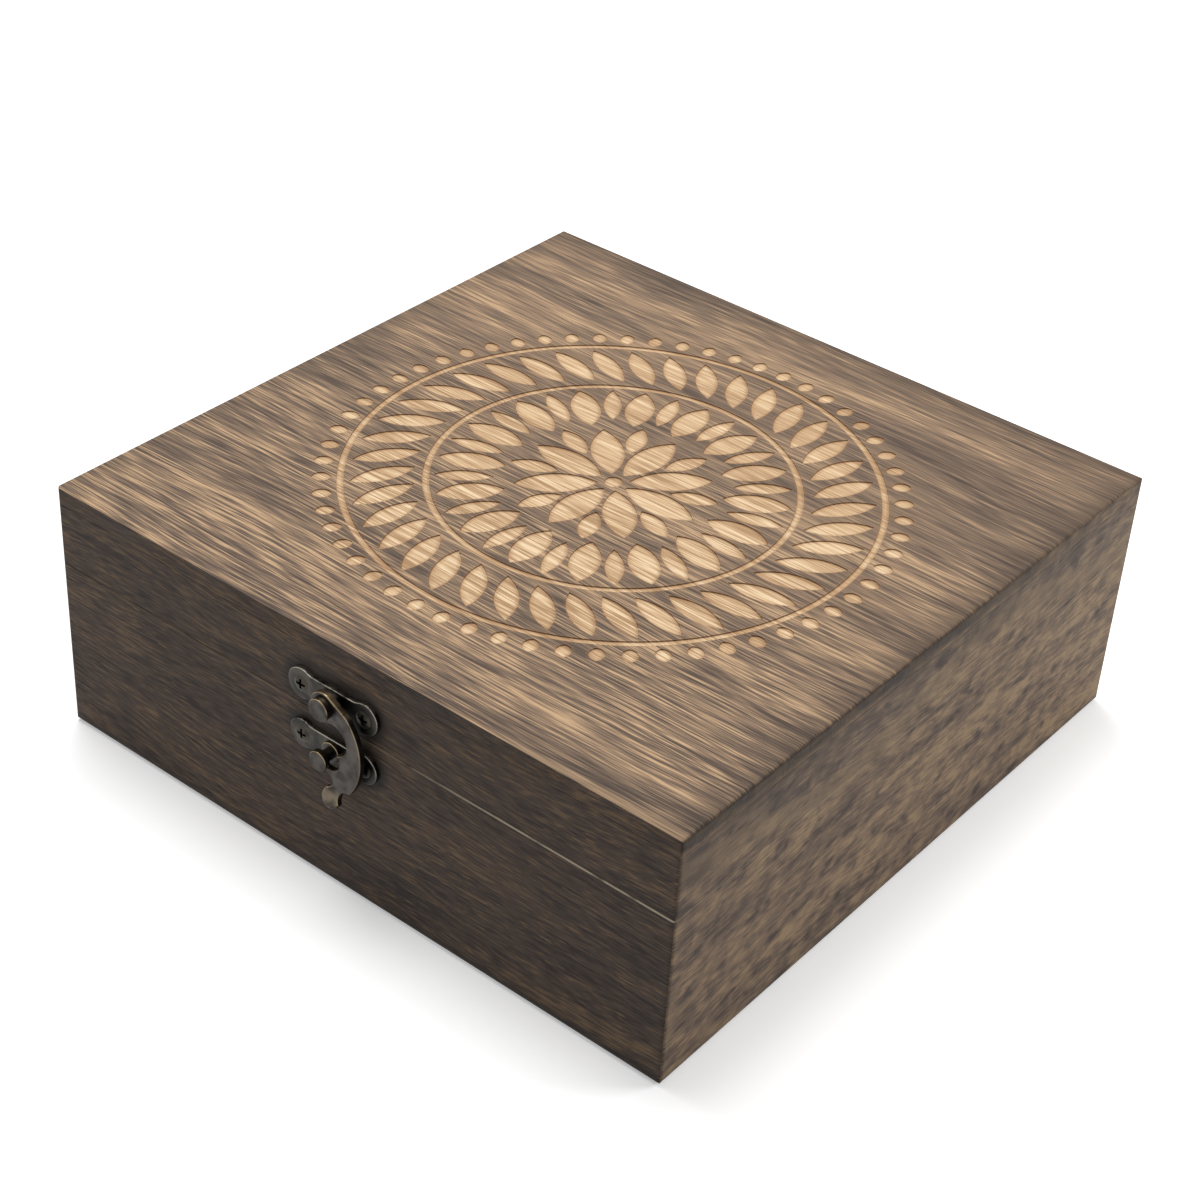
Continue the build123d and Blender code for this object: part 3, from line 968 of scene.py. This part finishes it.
# A painted highlight on the hook's finger tab.
TAB_HIGHLIGHT_SPAN, TAB_HIGHLIGHT_SHARE, TAB_HIGHLIGHT_REACH = (0.25, 0.7), 0.2, 3.5
ROUGH_SPAN, ROUGH_SHARE, ROUGH_GRIT = (0.2, 0.9), 0.2, 0.05
METALLIC = 0.9
BUMP_GRIT, BUMP_DEPTH = 0.3, 0.05
# How far a surface faces out or up where a mark begins and is full.
EASE_SPAN, FLAT_SPAN = (0.2, 0.5), (0.985, 0.86)
# Painted shade on the side walls.
WALL_SHADE_SPAN, WALL_SHADE_SHARE = (0.6, 0.2), 0.75
# Edges facing up carry more painted highlight than those facing down, and so do walls facing
# straight up.
UPWARD_SPAN, WALL_SPAN = (-0.2, 0.8), (0.6, 0.92)
DOWNWARD_SHARE = 0.2
# Where along a latch plate the painted shade on its right half lies, in millimetres.
RIGHT_SHADE_START, RIGHT_SHADE_END = (-5.0, 0.0), (13.0, 9.0)


@dataclass(frozen=True)
class AntiqueBronze:
    """Bronze plating, darkened as painted shade on its side walls, its edges pale from rubbing and
    from painted highlights.

    Attributes:
        name: The material's name.
        dull_and_shaded: The colour of the darkest plating, also used as painted shade on its side
            walls and on a latch plate's right half.
        body: The colour of most of it.
        wear_and_highlight: The colour of the edges pale from rubbing, and of the painted highlights
            on them.
        wear_and_highlight_share: How much of the eased edges is pale from rubbing and painted
            highlight.
        walls: How much painted highlight lies on the walls that face straight up.
        right_shade: How dark the painted shade on the right half of a latch plate is.
        tab_highlight_height: The height below which the front carries a painted highlight, in
            millimetres.
        shine: The roughness of the rubbed metal.
    """

    name: str
    dull_and_shaded: Colour
    body: Colour
    wear_and_highlight: Colour
    wear_and_highlight_share: float = 0.8
    walls: float = 0.0
    right_shade: float = 0.0
    tab_highlight_height: float = -20.0
    shine: float = 0.24

    def _wear_and_highlight(self, shader: Shader, cloud: Value, grit: Value) -> Value:
        """Says how much rubbing and painted highlight the metal carries.

        Args:
            shader: The shader.
            cloud: The plating's pattern.
            grit: Its fine roughness.

        Returns:
            How much it carries, 0 to 1.
        """
        height = shader.place()[2]
        _, front, up = shader.facing()
        out = abs(front)
        # Edges and walls facing up get more painted highlight.
        upward = DOWNWARD_SHARE + (1 - DOWNWARD_SHARE) * up.rise(*UPWARD_SPAN)
        walls = up.rise(*WALL_SPAN) * self.walls
        eased = (out.rise(*EASE_SPAN) * upward).most(walls) * out.rise(*FLAT_SPAN)
        pale_patches = eased * (cloud + EDGE_PATCH_GRIT * grit).rise(*EDGE_PATCH_SPAN) * self.wear_and_highlight_share
        # A painted highlight on the front of the hook's finger tab.
        low = height.rise(self.tab_highlight_height, self.tab_highlight_height - TAB_HIGHLIGHT_REACH)
        return pale_patches.most(low * out * cloud.rise(*TAB_HIGHLIGHT_SPAN) * TAB_HIGHLIGHT_SHARE)

    def material(self) -> bpy.types.Material:
        """Builds the material."""
        shader = Shader(bpy.data.materials.new(self.name))
        x, y, z = shader.place()
        cloud = PLATING.over(shader, x, y, z)
        grit = GRIT.over(shader, x, y, z)
        wear_and_highlight = self._wear_and_highlight(shader, cloud, grit)
        # Painted shade on the side walls.
        wall_shade_factor = 1 - abs(shader.facing()[1]).rise(*WALL_SHADE_SPAN) * WALL_SHADE_SHARE
        # Painted shade on the right half of a latch plate.
        unshaded = 1 - self.right_shade * x.rise(*RIGHT_SHADE_START) * x.rise(*RIGHT_SHADE_END)
        bright = cloud.rise(*BRIGHT_SPAN) * wall_shade_factor * unshaded
        plating = shader.mix(bright, self.dull_and_shaded, self.body)
        rough = ROUGH_SHARE * (1 - wear_and_highlight) * cloud.rise(*ROUGH_SPAN) + ROUGH_GRIT * grit
        return shader.close({
            "Base Color": shader.mix(wear_and_highlight, plating, self.wear_and_highlight),
            "Metallic": METALLIC + (1 - METALLIC) * wear_and_highlight,
            "Roughness": self.shine + rough,
            "Normal": shader.bump((1 - BUMP_GRIT) * cloud + BUMP_GRIT * grit, BUMP_DEPTH),
        })


# --- the box's parts ---------------------------------------------------------------------
def dress(node: str, material: bpy.types.Material) -> None:
    """Gives a CAD node its finish.

    Args:
        node: The node's name.
        material: The finish.
    """
    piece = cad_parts[node]
    piece.data.materials.clear()
    piece.data.materials.append(material)
    LOG.info("%s: %s", node, material.name)


@dataclass
class Timbers:
    """The woods of the boards, one figure for each side and shared by lid and base."""

    # The front tones are darker partly as the wood's own colour and partly as painted shade on the
    # faces turned from the lamps; the left board shares them.
    front_tones: tuple[Colour, ...] = (
        paint(49, 41, 37), paint(69, 58, 51), paint(85, 71, 62), paint(105, 87, 73),
        paint(134, 111, 86),
    )
    side_tones: tuple[Colour, ...] = (
        paint(73, 63, 57), paint(99, 84, 73), paint(120, 101, 85), paint(140, 118, 96),
        paint(164, 139, 108),
    )
    front_coarse: tuple[Streaks, ...] = (Streaks(110, 16, 0.5), Streaks(50, 6, 0.5))
    front_fine: tuple[Streaks, ...] = (
        Streaks(14, 2.2, 0.6), Streaks(9, 1.0, 1.0), Streaks(5, 0.5, 1.1),
    )
    side_coarse: tuple[Streaks, ...] = (
        Streaks(90, 14, 0.6), Streaks(36, 6, 0.6), Streaks(7, 4, 0.95),
        Streaks(8, 5, -0.27, apart=0.58),
    )
    side_fine: tuple[Streaks, ...] = (Streaks(3.6, 2, 0.5), Streaks(7, 0.5, 0.9))
    # Painted shade round the latch's two plates.
    latch_shades: tuple[FittingShade, ...] = (
        FittingShade(-2.6, 58.5, 10.2, 4.4), FittingShade(-2.6, 43.4, 10.2, 4.15),
    )
    woods: dict[str, BoardWood] = field(default_factory=dict)
    boards: dict[str, bpy.types.Material] = field(default_factory=dict)

    def build(self) -> None:
        """Builds one finish for each side of the box."""
        dark = (self.front_tones, self.front_coarse, self.front_fine)
        warm = (self.side_tones, self.side_coarse, self.side_fine)
        self.woods = {
            "front": BoardWood("front_board_wood", Grain.FRONT, 11.0, *dark, gilding=1.0,
                               head_reach=14.0, clear_start=200.0, clear_end=300.0,
                               fitting_shades=self.latch_shades),
            # The right board's faint rim highlight is painted light over the shade of the seam's
            # gap.
            "right": BoardWood("right_board_wood", Grain.SIDE, 160.0, *warm, head_share=0.3,
                               faded=0.1, paled=0.07, crest=Crest(), foot_shade_share=0.4,
                               rim_highlight_share=0.22, rim_start=-300.0),
            "back": BoardWood("back_board_wood", Grain.FRONT, 420.0, *warm, rim_highlight_share=0.5),
            "left": BoardWood("left_board_wood", Grain.SIDE, 733.0, *dark, gilding=0.4,
                              rim_highlight_share=0.3),
        }
        self.boards = {side: wood.material() for side, wood in self.woods.items()}


@dataclass
class BaseBox:
    """The base: four mitred boards and the bottom let into them."""

    bottom_tones: tuple[Colour, ...] = (
        paint(84, 72, 62), paint(110, 94, 80), paint(128, 110, 93), paint(146, 126, 104),
    )

    def dress(self, timbers: Timbers) -> None:
        """Dresses the boards and the bottom.

        Args:
            timbers: The boards' finishes.
        """
        for side, material in timbers.boards.items():
            dress(f"base_{side}_board", material)
        bottom = ScorchedWood("bottom_wood", Grain.FLAT, 57.0, self.bottom_tones,
                              timbers.side_coarse, timbers.side_fine)
        dress("bottom_panel", bottom.material())


@dataclass
class Lid:
    """The lid: four mitred frame boards and the carved panel glued on them."""

    tones: tuple[Colour, ...] = (
        paint(80, 67, 58), paint(103, 86, 73), paint(128, 107, 88), paint(159, 131, 104),
        paint(198, 165, 128),
    )
    pale_tones: tuple[Colour, ...] = (
        paint(170, 136, 101), paint(196, 162, 125), paint(218, 186, 146), paint(238, 212, 175),
    )
    coarse: tuple[Streaks, ...] = (Streaks(150, 18, 0.55), Streaks(90, 6, 0.4), Streaks(70, 3, 0.3))
    fine: tuple[Streaks, ...] = (
        Streaks(28, 2.6, 0.3), Streaks(22, 1.1, 1.0), Streaks(13, 0.45, 1.5),
    )

    def dress(self, timbers: Timbers) -> None:
        """Dresses the frame and the panel.

        Args:
            timbers: The boards' finishes.
        """
        for side, material in timbers.boards.items():
            dress(f"lid_{side}_board", material)
        panel = CarvedWood("lid_panel_wood", Grain.FLAT, 5.0, self.tones, self.coarse, self.fine,
                           wander=3.0, pale_tones=self.pale_tones,
                           flank=timbers.woods["right"], front=timbers.woods["front"])
        dress("lid_top_panel", panel.material())


@dataclass
class Fittings:
    """The latch, the hinges and their screws."""

    # Each finish's third colour is that of its edges pale from rubbing and painted highlights.
    plates: AntiqueBronze = AntiqueBronze(
        "plate_bronze", paint(36, 34, 31), paint(72, 68, 62), paint(182, 174, 160), wear_and_highlight_share=0.7,
        walls=0.6, right_shade=0.85)
    hinges: AntiqueBronze = AntiqueBronze(
        "hinge_bronze", paint(42, 39, 35), paint(74, 70, 64), paint(178, 170, 156), wear_and_highlight_share=0.7)
    hook: AntiqueBronze = AntiqueBronze(
        "hook_bronze", paint(44, 40, 37), paint(78, 73, 68), paint(186, 164, 128), wear_and_highlight_share=0.55,
        walls=0.9, tab_highlight_height=36.5)
    turned: AntiqueBronze = AntiqueBronze(
        "turned_bronze", paint(40, 36, 33), paint(73, 69, 65), paint(190, 166, 124), wear_and_highlight_share=0.6,
        walls=0.2)
    screws: AntiqueBronze = AntiqueBronze(
        "screw_bronze", paint(36, 33, 29), paint(70, 64, 55), paint(140, 126, 100), wear_and_highlight_share=0.5)

    def dress(self) -> None:
        """Dresses every metal piece."""
        finishes = (self.plates, self.hinges, self.hook, self.turned, self.screws)
        plating, hinge, hook, turned, dark = (finish.material() for finish in finishes)
        for node in ("latch_plate", "catch_plate"):
            dress(node, plating)
        for side in ("left", "right"):
            for kind in ("base_leaf", "lid_leaf", "pin"):
                dress(f"hinge_{side}_{kind}", hinge)
        dress("latch_hook", hook)
        for node in ("latch_pivot_rivet", "catch_stud"):
            dress(node, turned)
        for kind in ("latch_plate", "catch_plate", "hinge_base", "hinge_lid"):
            dress(f"{kind}_screws", dark)


# --- the studio --------------------------------------------------------------------------
@dataclass(frozen=True)
class Lamp:
    """A soft square lamp that looks at the middle of the box.

    Attributes:
        name: Its name.
        place: Where it hangs, in metres.
        size: Its side, in metres.
        power: Its power, in watts.
        mirrored: Whether shiny surfaces show it.
    """

    name: str
    place: tuple[float, float, float]
    size: float
    power: float
    mirrored: bool = True

    def hang(self, target: Vector) -> None:
        """Hangs the lamp.

        Args:
            target: What it looks at.
        """
        light = bpy.data.lights.new(self.name, "AREA")
        light.size = self.size
        light.energy = self.power
        lamp = bpy.data.objects.new(self.name, light)
        lamp.location = self.place
        lamp.rotation_euler = (target - Vector(self.place)).to_track_quat("-Z", "Y").to_euler()
        lamp.visible_glossy = self.mirrored
        bpy.context.scene.collection.objects.link(lamp)


@dataclass
class Studio:
    """A plain pale floor, soft lamps and a white surround.

    Attributes:
        floor_half: Half the floor's width, in metres.
        floor_colour: Its colour as the box's other light meets it.
        floor_glow: How brightly it shines by itself near the box, 1 being white.
        fade_start: Where it starts to pass into the white surround, in millimetres.
        fade_end: Where it has passed into it.
        ambient: The brightness of the surround's light.
        lamps: The lamps.
    """

    floor_half: float = 4.0
    floor_colour: Colour = field(default_factory=lambda: paint(150, 150, 150))
    floor_glow: float = 0.35
    fade_start: float = 350.0
    fade_end: float = 1300.0
    ambient: float = 0.3
    lamps: tuple[Lamp, ...] = (
        Lamp("overhead_lamp", (-0.35, 0.1, 1.5), 0.75, 16.0),
        Lamp("side_lamp", (0.85, 0.9, 0.55), 0.6, 8.0, mirrored=False),
    )

    def build(self) -> None:
        """Builds the floor, the lamps and the surround."""
        self._floor()
        for lamp in self.lamps:
            lamp.hang(Vector((0, 0, 0.04)))
        self._surround()
        bpy.context.scene.view_settings.view_transform = "Standard"

    def _seen(self, shader: Shader) -> Value:
        """Gives 1 where the eye or a reflection looks, and 0 for light on its way.

        Args:
            shader: The shader.

        Returns:
            The mask.
        """
        path = shader.node("ShaderNodeLightPath")
        seen = [Value(shader, path.outputs[name])
                for name in ("Is Camera Ray", "Is Glossy Ray", "Is Transmission Ray")]
        return seen[0].most(seen[1]).most(seen[2])

    def _floor(self) -> None:
        """Lays the floor, which looks white and keeps the box's shadow."""
        half = self.floor_half
        corners = [(-half, -half, 0), (half, -half, 0), (half, half, 0), (-half, half, 0)]
        mesh = bpy.data.meshes.new("studio_floor")
        mesh.from_pydata(corners, [], [(0, 1, 2, 3)])
        shader = Shader(bpy.data.materials.new("floor_paint"))
        seen = self._seen(shader)
        x, y, _ = shader.place()
        far = (x * x + y * y).root().rise(self.fade_start, self.fade_end)
        glow = self.floor_glow + (1 - self.floor_glow) * far
        mesh.materials.append(shader.close({
            "Base Color": shader.mix(seen, self.floor_colour, WHITE),
            "Emission Color": shader.mix(seen * glow, BLACK, WHITE),
            "Emission Strength": 1.0,
            "Roughness": 1.0,
            "Specular IOR Level": 0.0,
        }))
        floor = bpy.data.objects.new("studio_floor", mesh)
        bpy.context.scene.collection.objects.link(floor)

    def _surround(self) -> None:
        """Lights the surround dimly and shows it white."""
        world = bpy.data.worlds.new("surround")
        bpy.context.scene.world = world
        shader = Shader(world)
        dim = (self.ambient, self.ambient, self.ambient, 1.0)
        colour = shader.mix(self._seen(shader), dim, WHITE)
        background = shader.node("ShaderNodeBackground", None, {0: colour, 1: 1.0})
        shader.node("ShaderNodeOutputWorld", None, {0: background.outputs[0]})


@dataclass(frozen=True)
class Viewpoint:
    """The camera.

    Attributes:
        place: Where it stands, in metres.
        right: The direction of the picture's right.
        down: The direction of the picture's bottom.
        lens: The focal length, in millimetres.
        sensor: The sensor's width, in millimetres.
    """

    place: tuple[float, float, float] = (0.32707, -0.43477, 0.42186)
    right: tuple[float, float, float] = (0.77288833, 0.63228137, 0.05351548)
    down: tuple[float, float, float] = (0.40003929, -0.42005617, -0.81456822)
    lens: float = 74.84
    sensor: float = 36.0

    def build(self) -> None:
        """Places the camera."""
        data = bpy.data.cameras.new("camera")
        data.lens = self.lens
        data.sensor_width = self.sensor
        data.clip_start = 0.01
        camera = bpy.data.objects.new("camera", data)
        right, up = Vector(self.right).normalized(), -Vector(self.down).normalized()
        rotation = Matrix((right, up, right.cross(up))).transposed()
        camera.matrix_world = Matrix.Translation(self.place) @ rotation.to_4x4()
        bpy.context.scene.collection.objects.link(camera)
        bpy.context.scene.camera = camera


def main() -> None:
    """Builds everything in order."""
    logging.basicConfig(level=logging.INFO, format="%(name)s: %(message)s")
    Viewpoint().build()
    timbers = Timbers()
    timbers.build()
    BaseBox().dress(timbers)
    Lid().dress(timbers)
    Fittings().dress()
    Studio().build()


if __name__ == "__main__":
    main()
